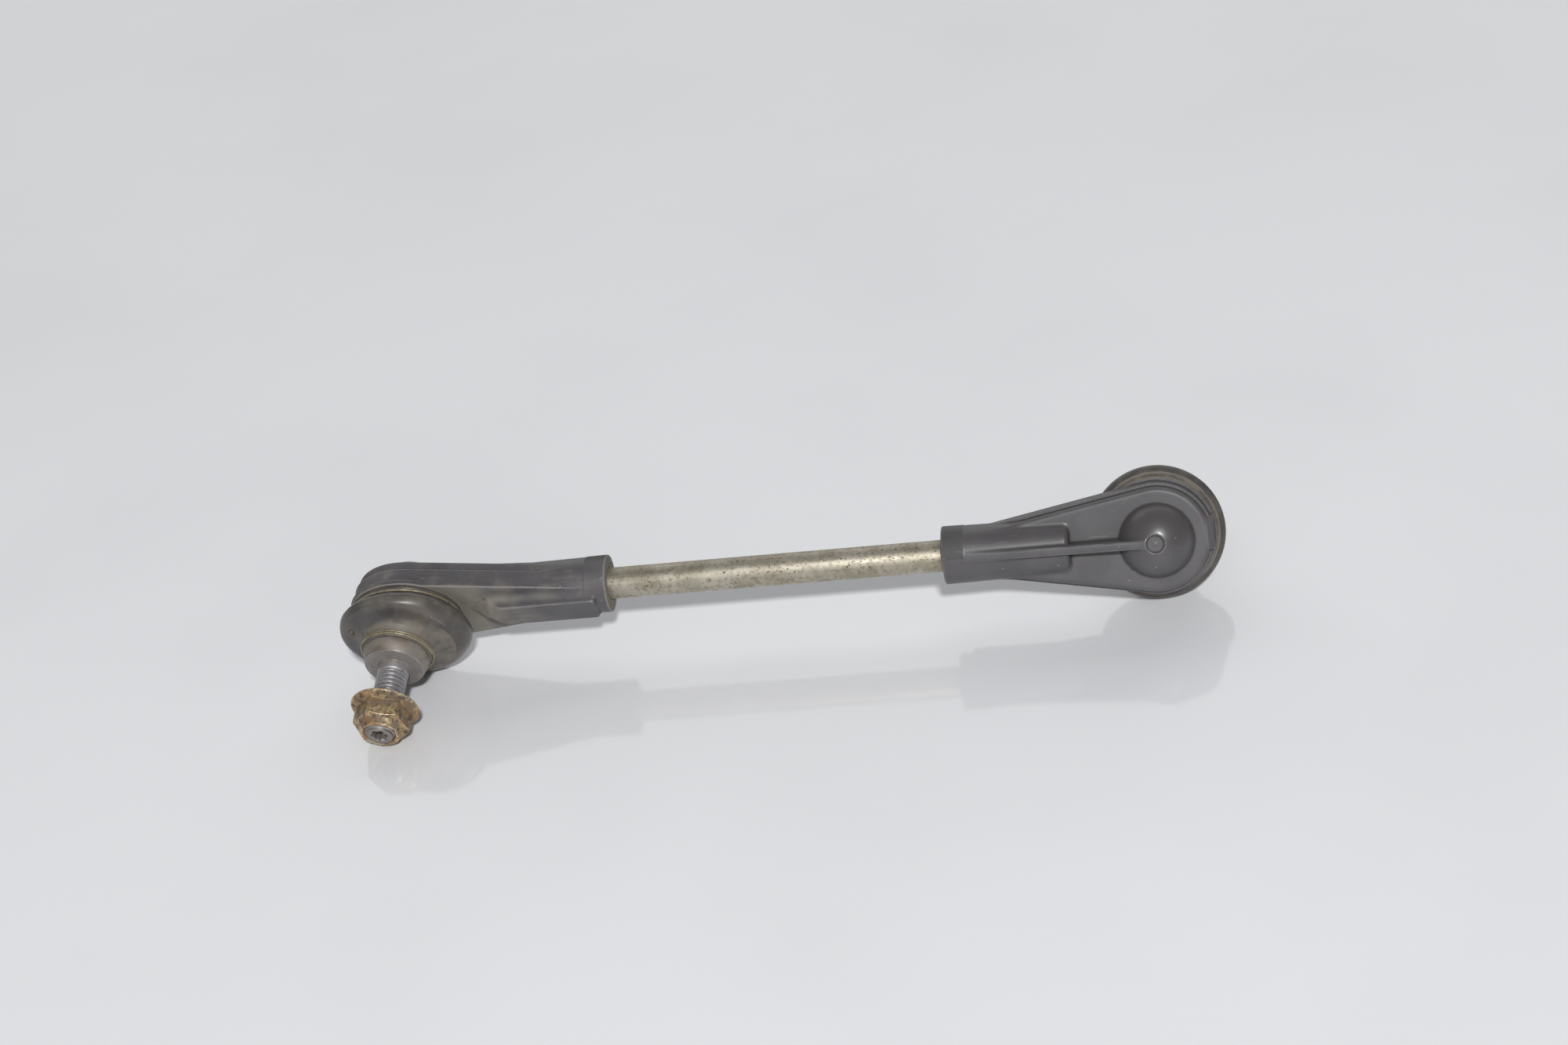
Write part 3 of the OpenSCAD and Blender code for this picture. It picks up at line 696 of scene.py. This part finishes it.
def paintHousing(mesh, place, dustiness):  # polished mould areas, painted shade on the patch at the collar, dirt next to the boot and the rod
    h = housing
    x, y, z = inEnd(mesh, place)
    facing = readVectors(mesh.vertex_normals, "vector") @ place[:3, 2]
    offDome = np.abs(np.sqrt(x ** 2 + y ** 2 + z ** 2) - h["domeR"])
    dome = np.clip(1.5 - offDome / h["domeSkin"], 0, 1)
    dome *= np.clip((-z - h["plateBack"]) / h["domeStart"], 0, 1)
    dome *= np.clip(1 + y / h["polishFade"], 0, 1)
    onBarrel = np.hypot(y, z) - h["barrelInnerR"]
    boss = (onBarrel > h["bossSkin"][0]) & (onBarrel < h["bossSkin"][1]) & (z < 0) & (y > h["ribHalf"])
    boss &= (x > h["barrelX"]) & (x < h["patchX"])
    paintValue(mesh, "polish", np.maximum(dome, h["bossPolish"] * boss))
    # painted shade: the patch at the collar goes darker in the crease colour
    patch = (x > h["patchX"] + h["patchEnd"] / 2) & (x < armLength - 0.3) & (y > h["patchSide"] / 2)
    shadedPatch = h["patchShade"] * patch * np.clip((-z - h["patchFrom"]) / h["patchFade"], 0, 1)
    paintValue(mesh, "hollow", np.maximum(readValue(mesh, "hollow"), shadedPatch))
    near = np.clip(1.25 - x / h["bootDustReach"], 0, 1) * np.clip(facing * 1.5, 0, 1)
    near *= np.hypot(x, y) > h["seatR"] - 0.6
    mouth = dustiness * np.clip((x - armLength + h["mouth"]) / 0.5, 0, 1)
    dust = readValue(mesh, "dust") + h["bootDust"] * near + h["mouthDust"] * mouth
    paintValue(mesh, "dust", np.clip(dust, 0, h["dustMost"]))


housingPoints, housingFaces = fieldMesh(housingField, housing["low"], housing["high"], housing["step"])
for side in sides:
    piece = makePiece(side + "_housing_moulding", housingPoints, housingFaces, endPlace(side), plastic,
                      housing["dust"][side])
    paintHousing(piece.data, endPlace(side), housing["dust"][side])
    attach(piece, "link")
    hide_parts(side + "_housing")
print("housings: %d faces each" % len(housingFaces))

# rod: turned along X, with its keying grooves inside the housings
rod = {"half": -ball[0] - rodTip, "bevel": 0.5, "grooveRound": 0.15, "arc": 4, "steps": 96}
rodCorners = [(0, -rod["half"], 0), (rodR, -rod["half"], rod["bevel"])]
keys = [rod["half"] - i * housing["groovePitch"] for i in range(1, housing["grooves"] + 1)]
for centre in sorted([-key for key in keys] + keys):
    w = housing["grooveW"] / 2
    for deep, at in ((0, -w), (1, -w), (1, w), (0, w)):
        rodCorners.append((rodR - deep * housing["grooveDepth"], centre + at, rod["grooveRound"]))
rodCorners += [(rodR, rod["half"], rod["bevel"]), (0, rod["half"], 0)]
rodLine = roundCorners(rodCorners, rod["arc"])
rodPlace = shift(0, 0, ball[2]) @ turn("Y", 90)
piece = makePiece("rod_bar", *lathe(rodLine, rod["steps"]), rodPlace, rodZinc)
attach(piece, "link")
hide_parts("rod")
print("rod: %d rings" % len(rodLine))

# boot: base and bulge stand on the socket's axis, the neck leans over to the stud's
boot = {
    "bottom": frontZ + seatGap, "boreR": spigotR + seatGap, "footR": 17.78, "footTop": frontZ + 1.15,
    "footRound": 0.2, "lipR": 17.18, "grooveTop": frontZ + 2.35,
    "cone": 33.0, "coneEnd": 20.6, "coneDirtR": 19.3, "rimAngle": -6.0, "crownAngle": 84.0,
    "bulgeR": 4.75, "ringR": spigotR + 1.0, "bulgeZ": frontZ + 6.0, "wall": 2.15, "hollowRise": 0.5,
    "hollowFrom": 115, "hollowTo": -100, "hollowLip": (2.6, 1.4),
    "shoulder": 2.6, "rise": 1.6, "ringFootR": 11.75, "ringFootDrop": 0.45, "ringFootRun": (-0.3, 0.954),
    "gripR": 11.05, "gripBoreR": 7.85, "gripTop": 21.65, "gripFoot": 19.25, "gripRound": 0.25,
    "leanFrom": 12.5, "leanTo": 17.6, "bendFrom": 8.0, "bendTo": 16.0, "steps": 144,
    "ripple": 0.05, "rippleFrom": 7.5, "rippleTo": 17.5, "rippleFade": 3,
    "nubAround": 160.0, "nubAcross": 98.0, "nubR": 1.35, "nubRise": 1.2, "nubSunk": 0.8,
    # highlightLine is a painted highlight: a thin pale ring along the edge of the cone
    "dust": 0.85, "coneDust": 0.42, "highlightLineWidth": 0.3, "highlightLine": 0.6,
    "neckFrom": 15.8, "neckFade": 1.5, "neckDust": 0.6, "shade": 0.6,
}


def bootLine():
    b = boot
    foot, grip = b["footRound"], b["gripRound"]
    coneZ = b["grooveTop"] + (b["coneEnd"] - b["lipR"]) * math.tan(math.radians(b["cone"]))
    line = [(b["boreR"], b["bottom"]), (b["footR"] - foot, b["bottom"]), (b["footR"], b["bottom"] + foot)]
    line += [(b["footR"], b["footTop"] - foot), (b["footR"] - foot, b["footTop"]), (b["lipR"], b["footTop"])]
    line += [(b["lipR"], b["grooveTop"])]
    for t in np.linspace(0.1, 1, 8):  # cone behind the bulge
        r, z = b["lipR"] + (b["coneEnd"] - b["lipR"]) * t, b["grooveTop"] + (coneZ - b["grooveTop"]) * t
        line.append((r, z))
    for a in np.radians(np.linspace(b["rimAngle"], b["crownAngle"], 26)):  # bulge, from its rim to its crown
        line.append((b["ringR"] + b["bulgeR"] * math.cos(a), b["bulgeZ"] + b["bulgeR"] * math.sin(a)))
    start, startRun = np.array(line[-1]), np.array((-math.sin(a), math.cos(a)))
    end, endRun = np.array((b["ringFootR"], b["gripFoot"] - b["ringFootDrop"])), np.array(b["ringFootRun"])
    knee, bend = start + startRun * b["shoulder"], end - endRun * b["rise"]
    for t in np.linspace(0, 1, 14)[1:]:  # on to the foot of the ring
        early, late = start * (1 - t) ** 3 + 3 * knee * t * (1 - t) ** 2, 3 * bend * t ** 2 * (1 - t)
        line.append(tuple(early + late + end * t ** 3))
    line += [(b["gripR"], b["gripFoot"]), (b["gripR"], b["gripTop"] - grip)]
    line += [(b["gripR"] - grip, b["gripTop"]), (b["gripBoreR"] + grip, b["gripTop"])]
    line += [(b["gripBoreR"], b["gripTop"] - grip), (b["gripBoreR"], bootSeatZ)]
    line += [(b["gripBoreR"] + b["hollowLip"][0], bootSeatZ - b["hollowLip"][1])]
    inner, middle = b["bulgeR"] - b["wall"], b["bulgeZ"] + b["hollowRise"]
    for a in np.radians(np.linspace(b["hollowFrom"], b["hollowTo"], 26)):  # inside of the bulge
        line.append((b["ringR"] + inner * math.cos(a), middle + inner * math.sin(a)))
    return line + [(b["boreR"], middle - inner - foot)]


def leanOver(points, low, high):  # turns points about the ball centre, more and more from low to high
    t = np.clip((points[:, 2] - low) / (high - low), 0, 1)
    weight = t * t * (3 - 2 * t)
    stud = studTurn[:3, 2]
    axis = np.cross((0, 0, 1), stud)
    full = math.asin(np.linalg.norm(axis))
    axis = axis / np.linalg.norm(axis)
    c, s = np.cos(weight * full)[:, None], np.sin(weight * full)[:, None]
    return points * c + np.cross(axis, points) * s + axis * (points @ axis)[:, None] * (1 - c)


bootPoints, bootFaces = lathe(bootLine(), boot["steps"], loop=True)
around, height = np.arctan2(bootPoints[:, 1], bootPoints[:, 0]), bootPoints[:, 2]
wave = np.sin(3 * around + 0.7) + 0.6 * np.sin(7 * around + 2.1) + 0.5 * np.sin(4 * around + height)
puffed = np.clip((height - boot["rippleFrom"]) / boot["rippleFade"], 0, 1)
puffed *= np.clip((boot["rippleTo"] - height) / boot["rippleFade"], 0, 1)
bootPoints[:, 2] += boot["ripple"] * wave * puffed


def bootNub():  # the small moulding nub on the bulge
    b = boot
    line = [(0.0, -b["nubSunk"]), (b["nubR"], -b["nubSunk"])]
    line += [(b["nubR"] * math.cos(a), b["nubRise"] * math.sin(a)) for a in np.linspace(0, math.pi / 2, 7)]
    points, faces = lathe(line, 24)
    across = math.radians(b["nubAcross"])
    r, z = b["ringR"] + b["bulgeR"] * math.cos(across), b["bulgeZ"] + b["bulgeR"] * math.sin(across)
    place = turn("Z", b["nubAround"]) @ shift(r, 0, z) @ turn("Y", 90 - b["nubAcross"])
    return moved(points, place), faces


nubPoints, nubFaces = bootNub()
bootFaces += [tuple(len(bootPoints) + i for i in face) for face in nubFaces]
bootPoints = leanOver(np.concatenate([bootPoints, nubPoints]), boot["leanFrom"], boot["leanTo"])


def paintBoot(mesh, place):  # dirt sits on the cone behind the bulge and on the neck at the stud; behind the bulge the dust is thinned as a painted shade, and a thin pale ring along the cone's edge is a painted highlight
    b = boot
    x, y, z = inEnd(mesh, place)
    radius, behind = np.hypot(x, y), z < b["bulgeZ"]
    cone = behind & (z > b["grooveTop"]) & (radius < b["coneDirtR"])
    # painted highlight: a thin pale ring where the cone meets the rim
    line = behind & (np.abs(radius - b["coneDirtR"]) < b["highlightLineWidth"])
    neck = np.clip((z - b["neckFrom"]) / b["neckFade"], 0, 1) * (radius < b["ringR"])
    dust = readValue(mesh, "dust") * np.where(behind, b["shade"], 1.0)
    dust = dust + b["coneDust"] * cone + b["highlightLine"] * line + b["neckDust"] * neck
    paintValue(mesh, "dust", dust)


for side in sides:
    place = endPlace(side)
    piece = makePiece(side + "_boot_rubber", bootPoints, bootFaces, place, rubber, boot["dust"])
    paintBoot(piece.data, place)
    start = moved(np.array([[0, 0, boot["bendFrom"]]]), place)[0] * mm
    end = moved(np.array([[0, 0, boot["bendTo"]]]), place)[0] * mm
    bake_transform(piece)
    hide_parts(side + "_boot")
print("boots: %d faces each" % len(bootFaces))

# clamp rings of round wire, two turns each; spread is the pitch of the turns in wire widths
clamps = {
    "base": {"node": "_boot_base_ring", "body": "link", "onStud": False, "z": 7.03, "spread": 0.43,
             "Radius": 17.95, "Wire": 0.58, "Turns": 2.0, "dust": 0.5},
    "top": {"node": "_boot_top_ring", "body": "_boot_grip", "onStud": True, "z": 19.7, "spread": 1.0,
            "Radius": 11.5, "Wire": 0.8, "Turns": 2.0, "dust": 0.5},
}
ringTree = wireRingTree()
for clamp in clamps.values():
    sizes = {k: clamp[k] for k in ("Radius", "Wire", "Turns")}
    sizes["Height"] = clamp["Wire"] * clamp["Turns"] * clamp["spread"]
    for side in sides:
        place = endPlace(side) @ (studTurn if clamp["onStud"] else np.eye(4)) @ shift(0, 0, clamp["z"])
        mesh = placeMesh(runTree(ringTree, sizes, clampWire), place)
        piece = finishPiece(side + clamp["node"] + "_wire", mesh, clampWire, clamp["dust"])
        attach(piece, clamp["body"] if clamp["body"] == "link" else side + clamp["body"])
        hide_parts(side + clamp["node"])
print("clamp rings: %d" % (len(clamps) * 2))

# ball stud: turned in one piece, thread cut by geometry nodes, star drive in the end
stud = {
    "ballR": 8.0, "neckR": 5.0, "flareZ": bootSeatZ - 3.2, "flareRound": 1.2, "seatR": 7.8, "seatRound": 0.6,
    "collarZ": 21.75, "collarR": 10.6, "collarEdge": 1.2, "collarRound": 0.5, "faceR": 9.5, "faceRound": 0.35,
    "shankR": 5.0, "shankRound": 0.5, "threadZ": faceZ + 3.0, "threadR": 4.9, "runIn": 0.4,
    "tipZ": faceZ + 25.9, "bevel": 0.8, "driveR": 2.75, "bite": 0.62, "driveDepth": 4.0, "lobes": 6,
    "driveLip": ((0.45, 0.0), (0.12, 0.05), (0.0, 0.3)),  # out from the star, down from the tip
    "driveWall": (1.2, 0.3), "driveFoot": 0.93, "drivePoint": 0.6, "seatFillet": 0.25, "runInRound": 0.2,
    "Pitch": 1.5, "Depth": 0.86, "Run Out": 1.2, "Core": 3.6, "steps": 96, "perPitch": 12,
    "faceBright": 0.45, "sootFrom": 1.6, "sootFade": 1.2, "dust": 0.5,
}


def studLine(angle):
    s = stud
    neck = math.pi - math.asin(s["neckR"] / s["ballR"])
    line = [(s["ballR"] * math.sin(a), -s["ballR"] * math.cos(a)) for a in np.linspace(0, neck, 40)]
    shaft = [(s["neckR"], line[-1][1], 0), (s["neckR"], s["flareZ"], s["flareRound"]),
             (s["seatR"], bootSeatZ, s["seatRound"]), (s["seatR"], s["collarZ"], s["seatFillet"]),
             (s["collarR"], s["collarZ"], s["faceRound"]),
             (s["collarR"], s["collarZ"] + s["collarEdge"], s["collarRound"]),
             (s["faceR"], faceZ, s["faceRound"]), (s["shankR"], faceZ, s["shankRound"]),
             (s["shankR"], s["threadZ"] - s["runIn"], s["runInRound"]), (s["threadR"], s["threadZ"], 0)]
    line += [tuple(p) for p in roundCorners(shaft)[1:]]
    low, high = s["threadZ"], s["tipZ"] - s["bevel"]
    rows = int((high - low) / s["Pitch"] * s["perPitch"])
    line += [(s["threadR"], z) for z in np.linspace(low, high, rows)[1:]]
    line += [(s["threadR"] - s["bevel"] * t, high + s["bevel"] * t) for t in (0.35, 0.7, 1.0)]
    star = s["driveR"] - s["bite"] * (0.5 - 0.5 * np.cos(s["lobes"] * angle))
    floor = s["tipZ"] - s["driveDepth"]
    line += [(star + out, s["tipZ"] - down) for out, down in s["driveLip"]]
    wallTop, wallFoot = s["tipZ"] - s["driveWall"][0], floor + s["driveWall"][1]
    line += [(star, z) for z in np.linspace(wallTop, wallFoot, 3)]
    return line + [(star * s["driveFoot"], floor), (0.0, floor - s["drivePoint"])]


def paintStud(mesh):  # plated from the collar's face on, dull at the tip and in the drive
    s = stud
    x, y, z = readVectors(mesh.vertices, "co").T
    radius = np.hypot(x, y)
    face = (np.abs(z - faceZ) < 0.1) & (radius > s["shankR"] + 0.3)
    paintValue(mesh, "bright", np.clip((z - faceZ - 0.3) / 0.6, s["faceBright"] * face, 1))
    recess = (radius < s["driveR"] + 0.5) & (z > faceZ)
    paintValue(mesh, "soot", np.clip((z - s["tipZ"] + s["sootFrom"]) / s["sootFade"], recess, 1))


studAngle = np.linspace(0, 2 * np.pi, stud["steps"], endpoint=False)
studPoints, studFaces = lathe(studLine(studAngle), stud["steps"])
cutTree = threadTree()
threadSizes = {"Start": stud["threadZ"] - stud["runIn"], "End": stud["tipZ"] + 0.2}
threadSizes.update({k: stud[k] for k in ("Pitch", "Depth", "Run Out", "Core")})
for side in sides:
    blank = bpy.data.meshes.new("stud_blank")
    blank.from_pydata(studPoints.tolist(), [], studFaces)
    mesh = runTree(cutTree, threadSizes, studSteel, blank)
    paintStud(mesh)
    mesh = placeMesh(mesh, endPlace(side) @ studTurn)
    piece = finishPiece(side + "_stud_steel", mesh, studSteel, stud["dust"])
    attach(piece, side + "_stud")
    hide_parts(side + "_ball_stud")
print("studs: %d faces each" % len(studFaces))

# flange nut: hexagon on a sloped flange, crown squeezed in three places
nut = {
    "z": faceZ + 14.9, "rimR": 10.9, "rimH": 1.0, "slopeH": 1.1, "flatR": 8.0, "hexH": 8.0, "hexBevel": 0.8,
    "bevelAngle": 30, "cornerR": 9.0, "turn": -16.0, "boreR": 4.93, "boreBevel": 0.7, "crownBevel": 0.45,
    "rimFoot": ((0.5, 0.0), (0.15, 0.12), (0.0, 0.45)),  # in from the rim, up from the face
    "rimTop": ((0.0, -0.4), (0.12, -0.1), (0.4, 0.1)),  # in from the rim, up from its top
    "crownH": 2.5, "crownBaseR": 7.3, "crownTopR": 6.3, "crownFoot": 0.25, "crimps": 3, "crimpDepth": 0.45,
    "cornerRound": 0.15, "slopeRound": 0.3, "steps": 180,
}


def nutLine(angle):
    n = nut
    sector = (angle - math.radians(n["turn"])) % (math.pi / 3) - math.pi / 6
    hexagon = np.minimum(n["flatR"] / np.cos(sector), n["cornerR"])
    line = [(n["boreR"] + n["boreBevel"], 0.0)]
    line += [(n["rimR"] - inwards, up) for inwards, up in n["rimFoot"]]
    line += [(n["rimR"] - inwards, n["rimH"] + up) for inwards, up in n["rimTop"]]
    for z in np.linspace(n["rimH"] + 0.2, n["hexH"], 40):
        slope = n["rimR"] - (z - n["rimH"]) / n["slopeH"] * (n["rimR"] - n["flatR"])
        bevel = max(0.0, z - n["hexH"] + n["hexBevel"]) / math.tan(math.radians(n["bevelAngle"]))
        top = n["cornerR"] + 0.25 - bevel
        walls = softMin(hexagon, np.full_like(angle, top), n["cornerRound"])
        line.append((softMax(walls, np.full_like(angle, slope), n["slopeRound"]), z))
    squeeze = np.clip(np.cos(n["crimps"] * angle) * 2.2 - 1.2, 0, 1)
    for t in np.linspace(0, 1, 9):
        r = n["crownBaseR"] + n["crownFoot"] * (1 - t) ** 6 + (n["crownTopR"] - n["crownBaseR"]) * t
        line.append((r - squeeze * n["crimpDepth"] * t, n["hexH"] + 0.02 + n["crownH"] * t * 0.94))
    topZ, bevel = n["hexH"] + n["crownH"], n["crownBevel"]
    edge = n["crownTopR"] - squeeze * n["crimpDepth"]
    line += [(edge - 0.25, topZ), (n["boreR"] + bevel, topZ), (n["boreR"], topZ - bevel)]
    return line + [(n["boreR"], z) for z in np.linspace(topZ - 2, n["boreBevel"], 4)]


nutAngle = np.linspace(0, 2 * np.pi, nut["steps"], endpoint=False)
nutPoints, nutFaces = lathe(nutLine(nutAngle), nut["steps"], loop=True)
for side in sides:
    place = endPlace(side) @ studTurn @ shift(0, 0, nut["z"])
    piece = makePiece(side + "_nut_hexagon", nutPoints, nutFaces, place, nutChromate)
    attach(piece, side + "_nut")
    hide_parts(side + "_flange_nut")
print("nuts: %d faces each" % len(nutFaces))

# the pieces inside the joints keep their solids
for side in sides:
    for node, finish in (("_ball_shell", acetal), ("_closing_ring", weldRing)):
        mesh = frame["nodes"][side + node].data
        mesh.materials.clear()
        mesh.materials.append(finish)
print("inner pieces dressed")

# stage: pale table, soft light, camera fitted to the picture
stage = {
    "floor": tone(240, 241, 244), "mark": tone(236, 237, 240), "half": 6.0,
    "cloudGrain": 160, "waveGrain": 30, "bump": 0.001, "rough": 0.08, "gloss": 0.9,
}


def makeFloor():
    material, graph = newFinish("pale_table")
    cloud = graph.noise(stage["cloudGrain"])
    colour = graph.mix(graph.soften(cloud, 0.4, 0.7), stage["floor"], stage["mark"])
    closeFinish(graph, colour, stage["rough"] + cloud * 0.01, graph.noise(stage["waveGrain"]), stage["bump"],
                Specular_IOR_Level=stage["gloss"])
    mesh = bpy.data.meshes.new("table")
    h = stage["half"]
    mesh.from_pydata([(-h, -h, 0), (h, -h, 0), (h, h, 0), (-h, h, 0)], [], [(0, 1, 2, 3)])
    mesh.materials.append(material)
    table = bpy.data.objects.new("table", mesh)
    bpy.context.scene.collection.objects.link(table)


camera = {  # focus and width in pixels of the picture, angles in degrees, offset from the rod's middle in mm
    "focus": 3773.15, "width": 2000, "pitch": 31.824, "roll": -10.436, "yaw": -10.440,
    "offset": (-2.564, 14.867, 934.753),
}


def makeCamera():
    toView = np.array([[1, 0, 0], [0, 0, -1], [0, 1, 0]])  # world to right, down, forward
    roll, pitch, yaw = turn("Z", camera["roll"]), turn("X", camera["pitch"]), turn("Z", camera["yaw"])
    axes = roll[:3, :3] @ pitch[:3, :3] @ toView @ yaw[:3, :3]
    spot = np.array((0, 0, ball[2])) - axes.T @ np.array(camera["offset"])
    data = bpy.data.cameras.new("camera")
    data.sensor_width = 36.0
    data.lens = camera["focus"] / camera["width"] * data.sensor_width
    data.clip_start, data.clip_end = 0.01, 50
    eye = bpy.data.objects.new("camera", data)
    place = np.eye(4)
    place[:3, :3] = np.stack([axes[0], -axes[1], -axes[2]], 1)
    place[:3, 3] = spot * mm
    eye.matrix_world = Matrix(place.tolist())
    bpy.context.scene.collection.objects.link(eye)
    bpy.context.scene.camera = eye


lamps = {
    "key": {"at": (0.53, -2.21, 1.99), "wide": 0.2, "high": 0.2, "power": 66.0},
    "wall": {"at": (-0.3, 2.1, 1.4), "wide": 5.0, "high": 2.6, "power": 31.0},
    "front": {"at": (-0.2, -2.4, 0.75), "wide": 4.0, "high": 1.6, "power": 10.0},
}
room = {"colour": (0.97, 0.98, 1.0, 1), "strength": 0.13}


def makeLamps():
    for name, lamp in lamps.items():
        data = bpy.data.lights.new(name, "AREA")
        data.shape, data.energy = "RECTANGLE", lamp["power"]
        data.size, data.size_y = lamp["wide"], lamp["high"]
        obj = bpy.data.objects.new(name, data)
        obj.visible_camera = False
        aim = Vector(lamp["at"])  # lamps look at the origin
        obj.matrix_world = Matrix.Translation(aim) @ aim.to_track_quat("Z", "Y").to_matrix().to_4x4()
        bpy.context.scene.collection.objects.link(obj)
    world = bpy.data.worlds.new("room")
    bpy.context.scene.world = world
    world.use_nodes = True
    sky = world.node_tree.nodes["Background"]
    sky.inputs["Color"].default_value = room["colour"]
    sky.inputs["Strength"].default_value = room["strength"]


makeFloor()
makeCamera()
makeLamps()
bpy.context.scene.view_settings.view_transform = "Standard"
print("stage: table, camera, %d lamps" % len(lamps))
